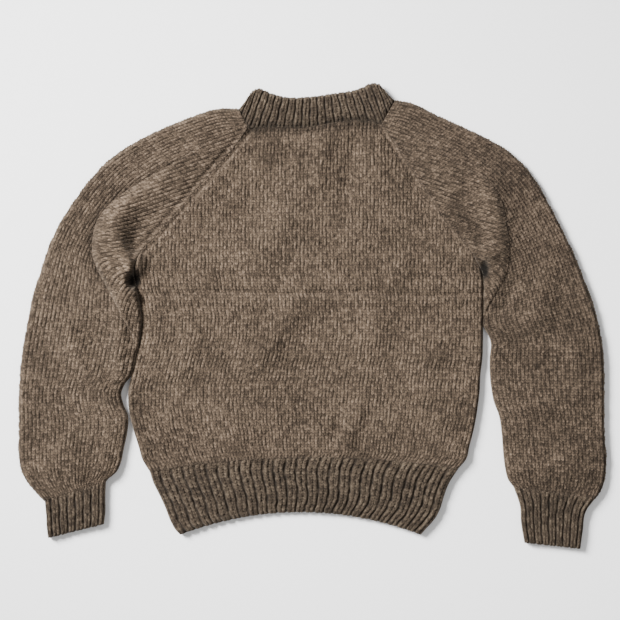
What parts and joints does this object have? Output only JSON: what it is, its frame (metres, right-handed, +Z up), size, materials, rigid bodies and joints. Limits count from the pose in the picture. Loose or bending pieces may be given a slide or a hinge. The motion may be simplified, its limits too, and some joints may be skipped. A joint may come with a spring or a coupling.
{
  "type": "alpaca sweater laid flat",
  "caption": "Hand-knitted raglan sweater laid flat front up, with ribbed welt, cuffs and doubled neckband and a soft pleat at each armpit.",
  "frame": {"origin": "on the surface it lies on, under the middle of the outline", "axes": "+X towards the wearer's left sleeve (picture's right), +Y towards the neck, +Z up out of the front"},
  "size_m": [0.88, 0.6974, 0.0222],
  "materials": {
    "stocking_stitch": "heathered brown-taupe alpaca in stocking stitch, matt with a soft halo",
    "rib": "the same heathered alpaca in two-by-two rib, a little darker in the furrows"
  },
  "bodies": {
    "root": {"front": "stocking_stitch", "back": "stocking_stitch", "hem_front": "rib", "hem_back": "rib", "right_sleeve": "stocking_stitch", "left_sleeve": "stocking_stitch", "right_cuff": "rib", "left_cuff": "rib", "collar": "rib"}
  },
  "joints": []
}
